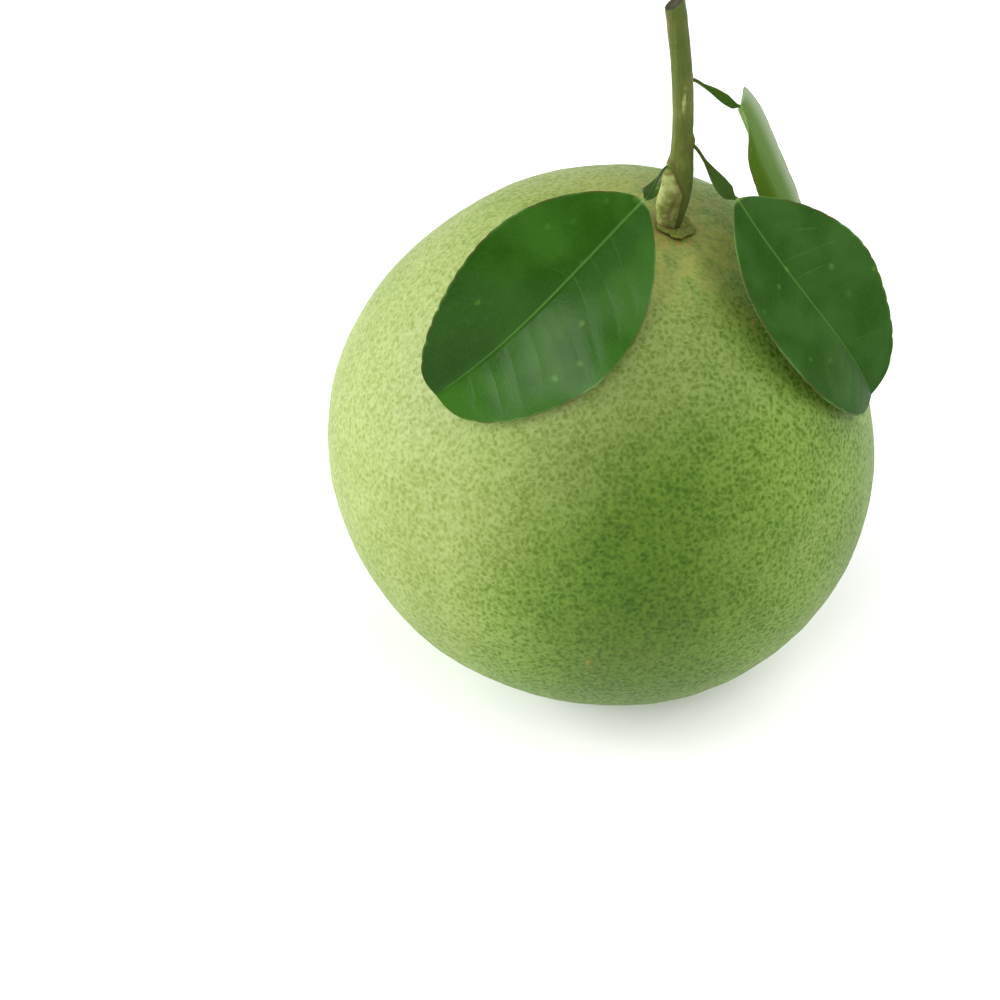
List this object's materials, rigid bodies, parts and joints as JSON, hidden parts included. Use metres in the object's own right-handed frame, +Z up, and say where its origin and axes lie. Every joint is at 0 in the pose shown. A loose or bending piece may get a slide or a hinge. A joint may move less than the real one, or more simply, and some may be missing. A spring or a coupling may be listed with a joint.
{
  "type": "pomelo",
  "caption": "Whole round green pomelo as picked, with a short cut woody twig, a small calyx and glossy oval leaves on winged petioles, resting on a small flat spot.",
  "frame": {"origin": "middle of the small flat spot that the fruit rests on", "axes": "+Z up through the fruit towards the twig's cut end, +X towards the side that the stem end leans to, -Y towards the leaf that hangs in front"},
  "size_m": [0.1604, 0.1596, 0.2255],
  "materials": {
    "rind": "satin",
    "calyx": "matte",
    "bark": "matte",
    "leaf": "satin"
  },
  "bodies": {
    "root": {"fruit": "rind", "calyx": "calyx", "twig": "bark", "leaf_front": "leaf", "leaf_right": "leaf", "leaf_back": "leaf"}
  },
  "joints": []
}
